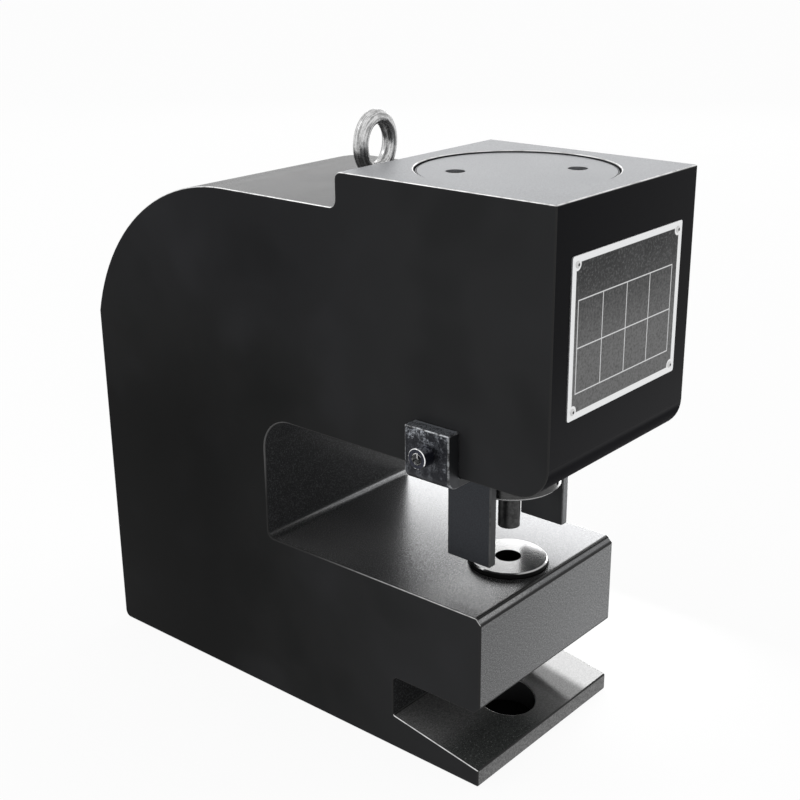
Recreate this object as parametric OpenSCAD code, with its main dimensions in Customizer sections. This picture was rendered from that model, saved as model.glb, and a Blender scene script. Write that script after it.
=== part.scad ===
// Hydraulic hole punch: a steel C-frame with a ram in its head and a die in its jaw.
// Heights are measured from the bench, and depths from the punch axis, with the front towards -Y.

/* [Frame] */
// Width of the frame across the throat
frame_w = 150; // [140:1:180]
// Punch axis to the front face of the head
head_front = 79; // [74:0.5:90]
// Punch axis to the step behind the head
head_back = 78.5; // [74:0.5:90]
// Height of the head over the ceiling of the throat
head_h = 171; // [168:0.5:190]
// Drop from the top of the head to the shoulder behind it
step_drop = 22; // [12:0.5:30]
// Radius of the two corners of the step
step_r = 5; // [2:0.5:5.5]
// Radius under the front edge of the head
nose_r = 22; // [6:0.5:30]
// Punch axis to the rear face
rear_reach = 315.5; // [305:0.5:340]
// Radius of the arc that rounds the rear shoulder
rear_arc_r = 142; // [125:1:150]
// How far the circle of that arc would run past the rear face
rear_arc_overrun = 4.5; // [1:0.5:8]
// Radius at the foot of the rear face
heel_r = 5; // [1:0.5:12]
// Punch axis to the rear wall of the throat
throat_depth = 148.5; // [120:0.5:165]
// Height of the throat over the jaw
throat_h = 89; // [84:0.5:110]
// Radius of the throat's upper rear corner
throat_r = 24; // [8:0.5:35]
// Radius of the throat's lower rear corner
throat_root_r = 5; // [2:0.5:10]
// Punch axis to the front face of the jaw
jaw_front = 34; // [32:0.5:45]
// Height of the underside of the jaw
jaw_z = 53; // [46:0.5:70]
// Thickness of the jaw
jaw_t = 67; // [55:0.5:90]
// Bevel along the upper front edge of the jaw
jaw_bevel = 4; // [1:0.5:5]
// Chamfer along the lower front edge of the jaw
jaw_chamfer = 4.5; // [1:0.5:8]
// Punch axis to the rear wall of the slug slot
slot_depth = 37; // [30:0.5:60]
// Radius of the slot's upper rear corner
slot_r = 4; // [1:0.5:8]
// Punch axis to the front edge of the toe
toe_front = 33.5; // [30:0.5:45]
// Thickness of the toe at its front edge
toe_t = 12; // [8:0.5:16]
// Rise of the toe's floor from its front edge to the slot's rear wall
toe_rise = 12; // [6:0.5:18]
// Diameter of the slug hole through the toe
toe_hole_d = 41; // [36:0.5:50]

/* [Cylinder] */
// Bore of the hydraulic cylinder
bore_d = 105; // [100:0.5:108]
// Thickness of the head's floor under the cylinder
floor_t = 25; // [24:0.5:30]
// Outer diameter of the screwed cap
cap_d = 123; // [118:0.5:130]
// Depth of the cap's screwed flange
cap_flange_t = 34; // [25:0.5:40]
// Length of the cap's spigot inside the bore
cap_spigot_h = 17; // [12:0.5:20]
// How far the cap lies below the top of the head
cap_recess = 1.2; // [0.6:0.1:3]
// Diameter of the cap's two spanner holes
spanner_hole_d = 12; // [8:0.5:14]
// Depth of the spanner holes
spanner_hole_h = 14; // [6:0.5:20]
// Pitch circle of the spanner holes
spanner_pcd = 73.5; // [50:0.5:90]
// Where the spanner holes stop when the cap is tight, in degrees from +X
spanner_turn = -45; // [-90:5:90]
// Section of the cap's O-ring
cap_seal_d = 5.3; // [3.5:0.1:7]
// Diameter of the drilled oil gallery
gallery_d = 6; // [4:0.5:8]
// Diameter of the breather hole under the piston
breather_d = 4; // [3:0.5:6]

/* [Ram] */
// Working stroke
stroke = 25; // [15:0.5:26]
// Diameter of the ram's rod
rod_d = 50; // [44:0.5:52]
// Height of the piston's sealing land
land_h = 28; // [26:0.5:34]
// Diameter of the piston's crown
crown_d = 80; // [70:0.5:86]
// Height of the piston's crown
crown_h = 15; // [11:0.5:18]
// Height of the piston seal
piston_seal_h = 9; // [6:0.5:10]
// Depth of the piston seal's groove
piston_seal_t = 7; // [5:0.5:8]
// Height of the piston's guide ring
guide_ring_h = 8; // [6:0.5:9]
// Thickness of the guide ring
guide_ring_t = 2.5; // [2:0.1:4]
// Depth of the spring pocket under the piston
pocket_h = 12; // [8:0.5:13]
// Wire of the return spring
spring_wire_d = 7; // [5:0.5:7.5]
// Mean diameter of the return spring
spring_mean_d = 78; // [74:0.5:80]
// Turns of the return spring, closed end turns included
spring_turns = 4; // [3.5:0.25:5]
// Wall of the rod's bronze bush
bush_wall = 5; // [3:0.5:6]
// Wall of the rod's wiper
wiper_wall = 6; // [4:0.5:7]
// Height of the wiper
wiper_h = 6; // [4:0.5:7]
// Height of the lip between wiper and bush
lip_h = 3; // [2:0.5:4]

/* [Tooling] */
// Outer diameter of the punch nut
nut_d = 66; // [62:0.5:70]
// Height of the punch nut
nut_h = 30.5; // [24:0.5:34]
// Thickness of the nut's lower web
nut_web = 10; // [6:0.5:12]
// Edge chamfer of the nut
nut_chamfer = 1.5; // [0.5:0.1:2]
// Diameter of the nut's tommy bar holes
tommy_d = 4; // [3:0.5:5]
// Depth of the tommy bar holes
tommy_h = 6; // [4:0.5:7]
// Diameter of the punch
punch_d = 14.5; // [10:0.5:22]
// Diameter of the punch's head inside the nut
punch_head_d = 30; // [26:0.5:40]
// Height of the punch's head
punch_head_h = 8; // [5:0.5:9]
// Gap between punch and die at rest
work_gap = 22.8; // [18:0.1:24]
// All-round clearance between punch and die hole
punch_clearance = 1.3; // [0.2:0.05:1.5]
// Outer diameter of the die
die_d = 52; // [46:0.5:56]
// Height of the die
die_h = 30; // [20:0.5:36]
// How far the die stands over the jaw
die_proud = 4; // [2:0.5:6]
// Edge chamfer of the die
die_chamfer = 0.8; // [0.4:0.1:1.5]
// Height of the die's cutting land
die_land_h = 8; // [4:0.5:12]
// Widening of the die hole below its land, all round
die_relief = 2; // [1:0.25:3]
// Diameter of the slug hole through the jaw
slug_d = 36; // [28:0.5:38]
// Thread diameter of the die's set screw
set_screw_d = 8; // [6:0.5:10]
// Length of the die's set screw
set_screw_l = 16; // [10:0.5:20]
// Key size of the set screw
set_screw_key = 4; // [3:0.5:5]

/* [Strippers] */
// Width of a stripper along the throat
stripper_w = 33.5; // [26:0.5:40]
// Thickness of a stripper's clamp plate
plate_t = 10.5; // [8:0.5:14]
// Height of the clamp plate over the head's underside
plate_h = 29.5; // [26:0.5:45]
// Thickness of the ledge under the head
ledge_t = 6; // [5:0.5:12]
// Thickness of a stripper's leg
leg_t = 6.5; // [5:0.5:12]
// Punch axis to the inner face of a leg
leg_reach = 37; // [36:0.5:42]
// Gap between a leg's lower end and the die
leg_gap = 13; // [8:0.5:18]
// Radius of the stripper's outer lower corner
stripper_r = 8; // [3:0.5:8]
// Thread diameter of the stripper screws
screw_d = 8; // [6:0.5:10]
// Head diameter of the stripper screws
screw_head_d = 13; // [11:0.5:16]
// Head height of the stripper screws
screw_head_h = 9; // [5:0.5:10]
// How far the stripper screws sit above the middle of the clamp plate
screw_rise = 2.5; // [0:0.5:4]
// Key size of the stripper screws
screw_key = 6; // [4:0.5:7]
// Depth of the stripper screws' sockets
screw_socket_h = 4; // [2:0.5:4.5]
// Length of thread that a stripper screw has in the frame
screw_grip = 14; // [8:0.5:16]

/* [Lifting eye] */
// Punch axis to the lifting eye
eye_y = 111.5; // [108:0.5:135]
// Outer diameter of the ring
eye_d = 44; // [36:0.5:54]
// Section of the ring
eye_wire_d = 10; // [8:0.5:12]
// Height of the ring's centre over the shoulder
eye_centre_h = 25.5; // [24:0.5:32]
// Diameter of the collar
eye_collar_d = 25; // [20:0.5:28]
// Height of the collar's edge
eye_collar_h = 4; // [3:0.5:6]
// Thread diameter of the lifting eye
eye_thread_d = 10; // [8:0.5:12]
// Thread length of the lifting eye
eye_thread_l = 18; // [14:0.5:24]
// Turn of the ring about its thread, in degrees
eye_turn = 8; // [-45:1:45]

/* [Nameplate] */
// Width of the nameplate
nameplate_w = 118; // [90:1:130]
// Height of the nameplate
nameplate_h = 95; // [70:1:110]
// Thickness of the nameplate
nameplate_t = 0.8; // [0.5:0.1:1.5]
// Drop from the top of the head to the nameplate's centre
nameplate_drop = 78; // [70:0.5:84]
// Corner radius of the nameplate
nameplate_r = 1.5; // [0.5:0.5:4]
// Rivet centres in from the nameplate's edges
rivet_inset = 5; // [4:0.5:8]
// Head diameter of the rivets
rivet_head_d = 4.4; // [3:0.2:6]
// Head height of the rivets
rivet_head_h = 1; // [0.5:0.1:1.4]
// Shank diameter of the rivets
rivet_d = 2.4; // [2:0.1:2.8]
// Shank length of the rivets in the frame
rivet_l = 5; // [3:0.5:8]

/* [Coupler] */
// Diameter of the spot face that the coupler seats in
spot_d = 26; // [25:0.5:30]
// Depth of the spot face below the highest point of its edge
spot_edge = 1; // [0.5:0.1:3]
// Thread diameter of the coupler
coupler_thread_d = 13; // [11:0.5:14]
// Thread length of the coupler
coupler_thread_l = 13; // [10:0.5:18]
// Size of the coupler's hexagon across flats
coupler_hex = 19; // [18:0.5:20]
// Height of the coupler's hexagon
coupler_hex_h = 9; // [7:0.5:12]
// Diameter of the coupler's neck
coupler_neck_d = 14; // [12.5:0.5:15]
// Length of the coupler's neck
coupler_neck_l = 12; // [8:0.5:14]
// Diameter of the coupler's nose
nose_d = 17; // [16.5:0.5:18]
// Length of the coupler's nose
nose_l = 26; // [22:0.5:27]
// Depth of the locking groove round the nose
lock_groove = 1.5; // [1:0.1:2]
// Bore through the coupler
coupler_bore_d = 8.4; // [8:0.1:9]
// Diameter of the opening in the nose
nose_hole_d = 5.6; // [4.5:0.1:6]
// Travel of the coupler's valve
valve_travel = 3; // [2:0.25:3.5]
// Thickness of the coupler's sealing washer
coupler_seal_t = 1.5; // [1:0.1:2.5]
// Wire of the valve spring
valve_wire_d = 0.9; // [0.7:0.1:1]
// Turns of the valve spring
valve_turns = 7; // [5:0.5:8]

/* [Fits] */
// Gap all round between a piece and the bore that holds it
fit_gap = 0.05; // [0.02:0.01:0.1]
// Gap all round in a running fit
run_gap = 0.06; // [0.03:0.01:0.1]
// Gap between faces that move apart
face_gap = 0.4; // [0.3:0.05:0.8]

/* [Hidden] */
$fn = 72;
over = 1;

jaw_top = jaw_z + jaw_t;
ceiling = jaw_top + throat_h;
head_top = ceiling + head_h;
shoulder = head_top - step_drop;
nameplate_z = head_top - nameplate_drop;
front_reach = head_front + nameplate_t + rivet_head_h;
axis_y = (front_reach - rear_reach) / 2;

// The rear arc touches the shoulder and runs out a little past the rear face
arc_y = rear_reach + rear_arc_overrun - rear_arc_r;
arc_z = shoulder - rear_arc_r;
function arc_at(z) = arc_y + sqrt(pow(rear_arc_r, 2) - pow(z - arc_z, 2));

// The stack of the cylinder, from its floor and from its cap
cyl_floor = ceiling + floor_t;
cap_top = head_top - cap_recess;
cap_seat = cap_top - cap_flange_t;
cap_bottom = cap_seat - cap_spigot_h;
crown_top = cap_bottom - face_gap;
land_top = crown_top - crown_h;
land_bottom = land_top - land_h;
pocket_top = land_bottom + pocket_h;
pocket_out_r = spring_mean_d / 2 + spring_wire_d / 2 + 2 * face_gap;
pocket_in_r = spring_mean_d / 2 - spring_wire_d / 2 - 2 * face_gap;
seal_z = land_top - land_h / 4;
guide_z = land_bottom + land_h / 4;
gallery_z = land_top + gallery_d / 2 + face_gap;
wiper_top = ceiling + wiper_h;
bush_bottom = wiper_top + lip_h;
bush_d = rod_d + 2 * bush_wall;
wiper_d = rod_d + 2 * wiper_wall;

// The tooling, from the nut under the head down to the die
nut_top = ceiling - 2 * face_gap;
nut_bottom = nut_top - nut_h;
punch_seat = nut_bottom + nut_web;
rod_end = punch_seat + punch_head_h;
tommy_z = nut_bottom + nut_chamfer + tommy_d;
die_top = jaw_top + die_proud;
die_seat = die_top - die_h;
die_hole_d = punch_d + 2 * punch_clearance;
punch_tip = die_top + work_gap;
set_screw_z = (die_seat + jaw_top) / 2;

// The strippers, under and beside the head
side_x = frame_w / 2;
plate_top = ceiling + plate_h;
ledge_bottom = ceiling - ledge_t;
leg_bottom = die_top + leg_gap;
plate_x = side_x + plate_t;
screw_z = (plate_top + ledge_bottom) / 2 + screw_rise;

// The coupler, on the gallery's axis behind the rear shoulder
spot_y = arc_at(gallery_z + spot_d / 2) - spot_edge;
hex_y = coupler_seal_t;
neck_y = hex_y + coupler_hex_h;
nose_y = neck_y + coupler_neck_l;
nose_end = nose_y + nose_l;
lock_y = nose_y + nose_l / 3;
valve_cone = (coupler_bore_d - nose_hole_d) / 2;
valve_seat = nose_end - nose_l / 4;
valve_head = valve_seat - valve_cone;
valve_back = valve_head - coupler_bore_d;
retainer_y = -coupler_thread_l / 2;
retainer_h = 2;

// Puts children drawn about the punch axis into the part's frame
module at_axis() { translate([0, axis_y, 0]) children(); }

// Turns a profile drawn in depth and height into a block across the frame
module across(w) { rotate([90, 0, 90]) linear_extrude(w, center = true) children(); }

// Turns children drawn along +Z, from the coupler's seat outwards, to lie along the gallery
module at_coupler() { at_axis() translate([0, spot_y, gallery_z]) rotate([-90, 0, 0]) children(); }

// A straight round piece between two heights
module rod(d, z0, z1) { translate([0, 0, z0]) cylinder(d = d, h = z1 - z0); }

// A ring between two heights
module ring(d, bore, z0, z1) {
    difference() {
        rod(d, z0, z1);
        rod(bore, z0 - over, z1 + over);
    }
}

// A hexagon across flats, from z0 up
module hexagon(flats, z0, h) { translate([0, 0, z0]) cylinder(d = flats / cos(30), h = h, $fn = 6); }

// What lies between a square corner and the arc that rounds it; into points from the corner to the arc
module corner(at, r, into) {
    difference() {
        translate([at.x + into.x * (r - over) / 2, at.y + into.y * (r - over) / 2])
            square(r + over, center = true);
        translate([at.x + into.x * r, at.y + into.y * r]) circle(r);
    }
}

// A 45 degree cut across a square corner
module bevel(at, size) { translate(at) rotate(45) square(size * sqrt(2), center = true); }

function coil_rise(u, turns, end_pitch, pitch) =
    min(u, 1) * end_pitch + max(0, min(u, turns - 1) - 1) * pitch + max(0, u - turns + 1) * end_pitch;

// A compression spring of height h with closed end turns, standing on z = 0
module coil(mean_d, wire_d, turns, h, rings = 20, sides = 8) {
    end_pitch = wire_d * 1.1;
    pitch = (h - wire_d - 2 * end_pitch) / (turns - 2);
    last = ceil(turns * rings);
    points = [for (i = [0 : last], k = [0 : sides - 1])
        let (u = turns * i / last, a = 360 * k / sides, r = (mean_d + wire_d * cos(a)) / 2)
        [r * cos(360 * u), r * sin(360 * u),
            (wire_d + wire_d * sin(a)) / 2 + coil_rise(u, turns, end_pitch, pitch)]];
    walls = [for (i = [0 : last - 1], k = [0 : sides - 1])
        let (a = i * sides + k, b = i * sides + (k + 1) % sides)
        each [[a, a + sides, b], [b, a + sides, b + sides]]];
    start = [for (k = [1 : sides - 2]) [0, k, k + 1]];
    end = [for (k = [1 : sides - 2]) [last * sides, last * sides + k + 1, last * sides + k]];
    polyhedron(points, concat(walls, start, end));
}

// A socket head screw along -Z with its bearing face on z = 0
module socket_screw(d, length, head_d, head_h, key, socket_h) {
    difference() {
        union() {
            rod(head_d, 0, head_h);
            rod(d, -length, over / 4);
        }
        hexagon(key, head_h - socket_h, socket_h + over);
    }
}

// The frame's side view
module frame_profile() {
    difference() {
        translate([-head_front, 0]) square([head_front + rear_reach, head_top]);
        step_space();
        corner([head_back, head_top], step_r, [-1, -1]);
        difference() {
            translate([arc_y, arc_z]) square(rear_arc_r + rear_arc_overrun + over);
            translate([arc_y, arc_z]) circle(rear_arc_r, $fn = 180);
        }
        corner([rear_reach, 0], heel_r, [-1, 1]);
        corner([-head_front, ceiling], nose_r, [1, 1]);
        throat_space();
        slot_space();
    }
}

// The air over the shoulder behind the head
module step_space() {
    difference() {
        translate([head_back, shoulder]) square([rear_reach, step_drop + over]);
        corner([head_back, shoulder], step_r, [1, 1]);
    }
}

// The throat, with the air in front of the jaw
module throat_space() {
    difference() {
        translate([-head_front - over, jaw_top]) square([head_front + over + throat_depth, throat_h]);
        corner([throat_depth, ceiling], throat_r, [-1, -1]);
        corner([throat_depth, jaw_top], throat_root_r, [-1, 1]);
    }
    translate([-head_front - over, jaw_z]) square([head_front + over - jaw_front, jaw_t + over]);
    bevel([-jaw_front, jaw_top], jaw_bevel);
    bevel([-jaw_front, jaw_z], jaw_chamfer);
}

// The slug slot under the jaw, over the sloping floor of the toe
module slot_space() {
    difference() {
        polygon([[-head_front - over, jaw_z + over / 2], [-jaw_front, jaw_z], [slot_depth, jaw_z],
            [slot_depth, toe_t + toe_rise], [-toe_front, toe_t], [-toe_front, -over],
            [-head_front - over, -over]]);
        corner([slot_depth, jaw_z], slot_r, [-1, -1]);
    }
}

// What is bored out of the frame for the cylinder and the rod
module cylinder_space() {
    rod(bore_d, cyl_floor, head_top + over);
    rod(cap_d, cap_seat, head_top + over);
    rod(bush_d + 2 * fit_gap, bush_bottom, cyl_floor + over);
    rod((rod_d + bush_d) / 2, wiper_top - over, bush_bottom + over);
    rod(wiper_d + 2 * fit_gap, ceiling - over, wiper_top);
    translate([0, bore_d / 2 - breather_d, 0]) rod(breather_d, ceiling - over, cyl_floor + over);
}

// The drilled gallery with the coupler's port and spot face
module gallery_space() {
    translate([0, 0, gallery_z]) rotate([-90, 0, 0]) {
        rod(gallery_d, bore_d / 2 - gallery_d, spot_y);
        rod(coupler_thread_d + 2 * fit_gap, spot_y - coupler_thread_l - over, spot_y + over);
        rod(spot_d, spot_y, rear_reach + over);
    }
}

// What is bored out of the jaw and the toe for the die and its slugs
module die_space() {
    rod(die_d + 2 * fit_gap, die_seat, jaw_top + over);
    rod(slug_d, jaw_z - over, die_seat + over);
    rod(toe_hole_d, -over, toe_t + toe_rise + over);
    translate([0, 0, set_screw_z]) rotate([0, 90, 0])
        rod(set_screw_d + 2 * fit_gap, die_d / 2 - over, side_x + over);
}

// The tapped holes for the strippers, the lifting eye and the nameplate's rivets
module tapped_space() {
    for (side = [-1, 1])
        translate([side * side_x, 0, screw_z]) rotate([0, 90, 0])
            cylinder(d = screw_d + 2 * fit_gap, h = 2 * (screw_grip + over), center = true);
    translate([0, eye_y, 0]) rod(eye_thread_d + 2 * fit_gap, shoulder - eye_thread_l - over, shoulder + over);
    at_rivets() rod(rivet_d + 2 * fit_gap, -rivet_l - over, over);
}

module frame() {
    color("#26272a") at_axis() difference() {
        across(frame_w) frame_profile();
        cylinder_space();
        gallery_space();
        die_space();
        tapped_space();
    }
}

module top_cap() {
    seal_depth = cap_seal_d * 0.8;
    groove_z = cap_bottom + cap_spigot_h / 2;
    rim = cap_recess;
    color("#8b8d90") at_axis() difference() {
        rotate_extrude() polygon([[0, cap_bottom], [bore_d / 2 - fit_gap, cap_bottom],
            [bore_d / 2 - fit_gap, cap_seat], [cap_d / 2 - fit_gap, cap_seat],
            [cap_d / 2 - fit_gap, cap_top - rim], [cap_d / 2 - fit_gap - rim, cap_top], [0, cap_top]]);
        ring(bore_d + over, bore_d - 2 * seal_depth, groove_z - cap_seal_d / 2, groove_z + cap_seal_d / 2);
        for (side = [-1, 1])
            rotate(spanner_turn) translate([side * spanner_pcd / 2, 0, 0])
                rod(spanner_hole_d, cap_top - spanner_hole_h, cap_top + over);
    }
}

module cap_seal() {
    seal_depth = cap_seal_d * 0.8;
    section_d = seal_depth - 2 * fit_gap;
    color("#1b1b1c") at_axis() translate([0, 0, cap_bottom + cap_spigot_h / 2])
        rotate_extrude() translate([bore_d / 2 - seal_depth / 2, 0]) circle(d = section_d, $fn = 24);
}

module ram() {
    color("#c3c6ca") at_axis() difference() {
        rotate_extrude() polygon([[0, rod_end], [rod_d / 2, rod_end], [rod_d / 2, land_bottom],
            [bore_d / 2 - run_gap, land_bottom], [bore_d / 2 - run_gap, land_top],
            [crown_d / 2, land_top], [crown_d / 2, crown_top], [0, crown_top]]);
        ring(bore_d + over, bore_d - 2 * piston_seal_t, seal_z - piston_seal_h / 2, seal_z + piston_seal_h / 2);
        ring(bore_d + over, bore_d - 2 * guide_ring_t, guide_z - guide_ring_h / 2, guide_z + guide_ring_h / 2);
        ring(2 * pocket_out_r, 2 * pocket_in_r, land_bottom - over, pocket_top);
    }
}

// A U-shaped seal with its open side towards the oil
module piston_seal() {
    out_r = bore_d / 2 - run_gap;
    in_r = bore_d / 2 - piston_seal_t + fit_gap;
    lip = piston_seal_t / 3;
    top = seal_z + piston_seal_h / 2 - fit_gap;
    bottom = seal_z - piston_seal_h / 2 + fit_gap;
    color("#2c6e8f") at_axis() rotate_extrude() polygon([[in_r, bottom], [out_r, bottom], [out_r, top],
        [out_r - lip, top], [(in_r + out_r) / 2, seal_z], [in_r + lip, top], [in_r, top]]);
}

module piston_guide_ring() {
    color("#5a4632") at_axis() ring(bore_d - 2 * run_gap, bore_d - 2 * guide_ring_t + 2 * fit_gap,
        guide_z - guide_ring_h / 2 + fit_gap, guide_z + guide_ring_h / 2 - fit_gap);
}

module return_spring() {
    color("#70757c") at_axis() translate([0, 0, cyl_floor + face_gap / 2])
        coil(spring_mean_d, spring_wire_d, spring_turns, pocket_top - cyl_floor - face_gap);
}

module rod_bush() {
    color("#b08a4a") at_axis() ring(bush_d, rod_d + 2 * run_gap, bush_bottom, cyl_floor);
}

module rod_wiper() {
    color("#2c6e8f") at_axis() ring(wiper_d, rod_d + 2 * run_gap, ceiling, wiper_top);
}

module punch_nut() {
    r = nut_d / 2;
    c = nut_chamfer;
    color("#b9bcc0") at_axis() difference() {
        rotate_extrude() polygon([[0, nut_bottom], [r - c, nut_bottom], [r, nut_bottom + c],
            [r, nut_top - c], [r - c, nut_top], [0, nut_top]]);
        rod(rod_d + 2 * fit_gap, punch_seat, nut_top + over);
        rod(punch_d + 2 * fit_gap, nut_bottom - over, punch_seat + over);
        for (turn = [12 : 90 : 282])
            rotate(turn) translate([r - tommy_h, 0, tommy_z]) rotate([0, 90, 0]) rod(tommy_d, 0, tommy_h + over);
    }
}

module punch() {
    color("#6d6f73") at_axis() {
        rod(punch_d, punch_tip, rod_end);
        rod(punch_head_d, punch_seat, rod_end);
    }
}

module die() {
    r = die_d / 2;
    c = die_chamfer;
    color("#9b9da1") at_axis() difference() {
        rotate_extrude() polygon([[0, die_seat], [r - c, die_seat], [r, die_seat + c], [r, die_top - c],
            [r - c, die_top], [0, die_top]]);
        rod(die_hole_d, die_seat - over, die_top + over);
        rod(die_hole_d + 2 * die_relief, die_seat - over, die_top - die_land_h);
    }
}

module die_set_screw() {
    color("#2b2b2d") at_axis() translate([die_d / 2 + fit_gap, 0, set_screw_z]) rotate([0, 90, 0]) difference() {
        rod(set_screw_d, 0, set_screw_l);
        hexagon(set_screw_key, set_screw_l - set_screw_key, set_screw_key + over);
    }
}

// One stripper on the +X side, as a bar bent under the head
module stripper() {
    difference() {
        rotate([90, 0, 0]) linear_extrude(stripper_w, center = true) difference() {
            union() {
                translate([side_x, ledge_bottom]) square([plate_t, plate_top - ledge_bottom]);
                translate([leg_reach, ledge_bottom]) square([plate_x - leg_reach, ledge_t]);
                translate([leg_reach, leg_bottom]) square([leg_t, ceiling - leg_bottom]);
            }
            corner([plate_x, ledge_bottom], stripper_r, [-1, 1]);
        }
        translate([side_x, 0, screw_z]) rotate([0, 90, 0]) rod(screw_d + 2 * fit_gap, -over, plate_t + over);
    }
}

module left_stripper() { color("#3b3d42") at_axis() mirror([1, 0, 0]) stripper(); }

module right_stripper() { color("#3b3d42") at_axis() stripper(); }

// One stripper screw on the +X side
module stripper_screw() {
    translate([plate_x, 0, screw_z]) rotate([0, 90, 0])
        socket_screw(screw_d, plate_t + screw_grip, screw_head_d, screw_head_h, screw_key, screw_socket_h);
}

module left_stripper_screw() { color("#202124") at_axis() mirror([1, 0, 0]) stripper_screw(); }

module right_stripper_screw() { color("#202124") at_axis() stripper_screw(); }

module eye_bolt() {
    ring_r = (eye_d - eye_wire_d) / 2;
    neck_top = eye_centre_h - ring_r;
    color("#a9adb2") at_axis() translate([0, eye_y, shoulder]) rotate(eye_turn) {
        rod(eye_thread_d, -eye_thread_l, over);
        rotate_extrude() polygon([[0, 0], [eye_collar_d / 2, 0], [eye_collar_d / 2, eye_collar_h],
            [eye_wire_d / 2, neck_top], [0, neck_top]]);
        translate([0, 0, eye_centre_h]) rotate([90, 0, 0])
            rotate_extrude() translate([ring_r, 0]) circle(d = eye_wire_d, $fn = 48);
    }
}

// Puts children drawn along +Z at each rivet, with z = 0 on the head's front face
module at_rivets() {
    for (x = [-1, 1], z = [-1, 1])
        translate([x * (nameplate_w / 2 - rivet_inset), -head_front,
            nameplate_z + z * (nameplate_h / 2 - rivet_inset)]) rotate([90, 0, 0]) children();
}

module nameplate() {
    w = nameplate_w / 2;
    h = nameplate_h / 2;
    color("#54565a") at_axis() difference() {
        translate([0, -head_front, nameplate_z]) rotate([90, 0, 0])
            linear_extrude(nameplate_t) difference() {
                square([nameplate_w, nameplate_h], center = true);
                for (x = [-1, 1], y = [-1, 1]) corner([x * w, y * h], nameplate_r, [-x, -y]);
            }
        at_rivets() rod(rivet_d + 2 * fit_gap, -over, nameplate_t + over);
    }
}

// Drive rivets with low domed heads
module nameplate_rivets() {
    r = rivet_head_d / 2;
    dome_r = (r * r + rivet_head_h * rivet_head_h) / (2 * rivet_head_h);
    color("#b4b6b9") at_axis() at_rivets() {
        rod(rivet_d, -rivet_l, nameplate_t + rivet_head_h / 2);
        intersection() {
            rod(rivet_head_d, nameplate_t, nameplate_t + rivet_head_h + over);
            translate([0, 0, nameplate_t + rivet_head_h - dome_r]) sphere(dome_r);
        }
    }
}

// A male quick coupler with a hexagon, a neck and a grooved nose
module coupler_body() {
    nose_r = nose_d / 2;
    tip = coupler_seal_t;
    color("#b7babe") at_coupler() difference() {
        union() {
            rotate_extrude() polygon([[0, -coupler_thread_l], [coupler_thread_d / 2, -coupler_thread_l],
                [coupler_thread_d / 2, neck_y - over], [coupler_neck_d / 2, neck_y - over],
                [coupler_neck_d / 2, nose_y], [nose_r, nose_y], [nose_r, lock_y - lock_groove],
                [nose_r - lock_groove, lock_y], [nose_r - lock_groove, lock_y + 2 * lock_groove],
                [nose_r, lock_y + 3 * lock_groove], [nose_r, nose_end - tip], [nose_r - tip, nose_end],
                [0, nose_end]]);
            hexagon(coupler_hex, hex_y, coupler_hex_h);
        }
        rotate_extrude() polygon([[0, -coupler_thread_l - over], [coupler_bore_d / 2, -coupler_thread_l - over],
            [coupler_bore_d / 2, valve_head], [nose_hole_d / 2, valve_seat], [nose_hole_d / 2, nose_end + over],
            [0, nose_end + over]]);
    }
}

module coupler_seal() {
    color("#1b1b1c") at_coupler() ring(coupler_hex, coupler_thread_d + 2 * fit_gap, 0, coupler_seal_t);
}

// The valve: a guided body with four flats, a cone on the seat and a pin inside the nose
module coupler_valve() {
    guide_r = coupler_bore_d / 2 - run_gap;
    pin_r = nose_hole_d / 2 - 5 * run_gap;
    flat = guide_r * 0.82;
    color("#c9a85a") at_coupler() translate([0, 0, -face_gap]) difference() {
        rotate_extrude() polygon([[0, valve_back], [guide_r, valve_back], [guide_r, valve_head],
            [pin_r, valve_head + guide_r - pin_r], [pin_r, nose_end], [0, nose_end]]);
        for (turn = [0 : 90 : 270])
            rotate(turn) translate([flat, -guide_r, valve_back - over])
                cube([guide_r, 2 * guide_r, valve_head - valve_back]);
    }
}

module coupler_spring() {
    foot = retainer_y + retainer_h;
    mean_d = coupler_bore_d - valve_wire_d - 8 * run_gap;
    color("#8d9196") at_coupler() translate([0, 0, foot + run_gap])
        coil(mean_d, valve_wire_d, valve_turns, valve_back - face_gap - foot - 2 * run_gap, 14, 6);
}

module coupler_retainer() {
    color("#70757c") at_coupler()
        ring(coupler_bore_d - 2 * fit_gap, coupler_bore_d / 2, retainer_y, retainer_y + retainer_h);
}

frame();
top_cap();
cap_seal();
ram();
piston_seal();
piston_guide_ring();
return_spring();
rod_bush();
rod_wiper();
punch_nut();
punch();
die();
die_set_screw();
left_stripper();
right_stripper();
left_stripper_screw();
right_stripper_screw();
eye_bolt();
nameplate();
nameplate_rivets();
coupler_body();
coupler_seal();
coupler_valve();
coupler_spring();
coupler_retainer();
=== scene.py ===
"""Looks of the hydraulic hole punch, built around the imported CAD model.

Materials, edge breaks, coil springs, floor, light and camera. Lengths are in metres, colours in linear RGB.
"""

import math

import bpy
from mathutils import Matrix, Vector


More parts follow.
